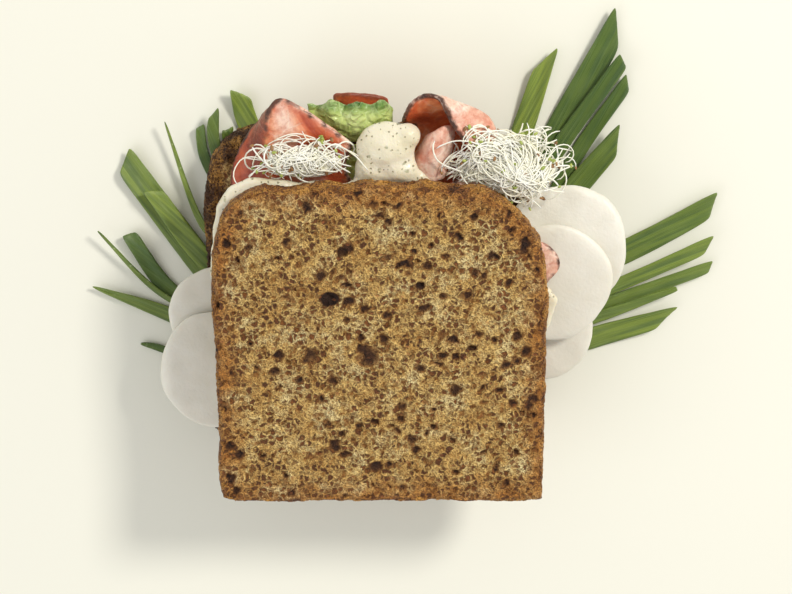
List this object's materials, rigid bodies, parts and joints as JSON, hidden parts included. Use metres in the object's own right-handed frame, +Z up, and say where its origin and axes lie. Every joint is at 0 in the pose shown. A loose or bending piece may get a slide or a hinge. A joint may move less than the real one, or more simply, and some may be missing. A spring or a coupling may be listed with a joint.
{
  "type": "roast beef sandwich",
  "caption": "Roast beef sandwich on wholemeal bread with white cheese, lettuce, herb mayonnaise and sprouts, on a fan of leek blades.",
  "frame": {"origin": "centre of the footprint on the surface that the leek blades lie on", "axes": "+Z up through the two slices, +X to the right and +Y to the back, where the filling shows past the upper slice"},
  "size_m": [0.2194, 0.1656, 0.0482],
  "materials": {
    "bread": "matt open crumb with a browner crust",
    "cheese": "smooth, moist, satin",
    "leek": "waxy, fine lengthwise veins",
    "beef": "moist pink meat with a dark roasted rim",
    "lettuce": "crisp, slightly shiny",
    "mayonnaise": "smooth, soft shine, flecked with herbs",
    "sprouts": "thin pale strands with small seeds"
  },
  "bodies": {
    "root": {"bread_bottom": "bread", "bread_top": "bread", "cheese_left_back": "cheese", "cheese_left_front": "cheese", "cheese_right_front": "cheese", "cheese_right_back": "cheese", "cheese_right_mid": "cheese", "leek_right_1": "leek", "leek_right_2": "leek", "leek_right_3": "leek", "leek_right_4": "leek", "leek_right_5": "leek", "leek_right_6": "leek", "leek_right_7": "leek", "leek_right_8": "leek", "leek_right_9": "leek", "leek_right_10": "leek", "leek_left_1": "leek", "leek_left_2": "leek", "leek_left_3": "leek", "leek_left_4": "leek", "leek_left_5": "leek", "leek_left_6": "leek", "leek_left_7": "leek", "leek_left_8": "leek", "leek_left_9": "leek", "leek_left_10": "leek", "leek_left_11": "leek", "beef_left": "beef", "beef_right": "beef", "beef_wide": "beef", "beef_curl": "beef", "beef_back": "beef", "lettuce": "lettuce", "lettuce_frill": "lettuce", "mayonnaise": "mayonnaise", "sprouts_left": "sprouts", "sprouts_right": "sprouts"}
  },
  "joints": []
}
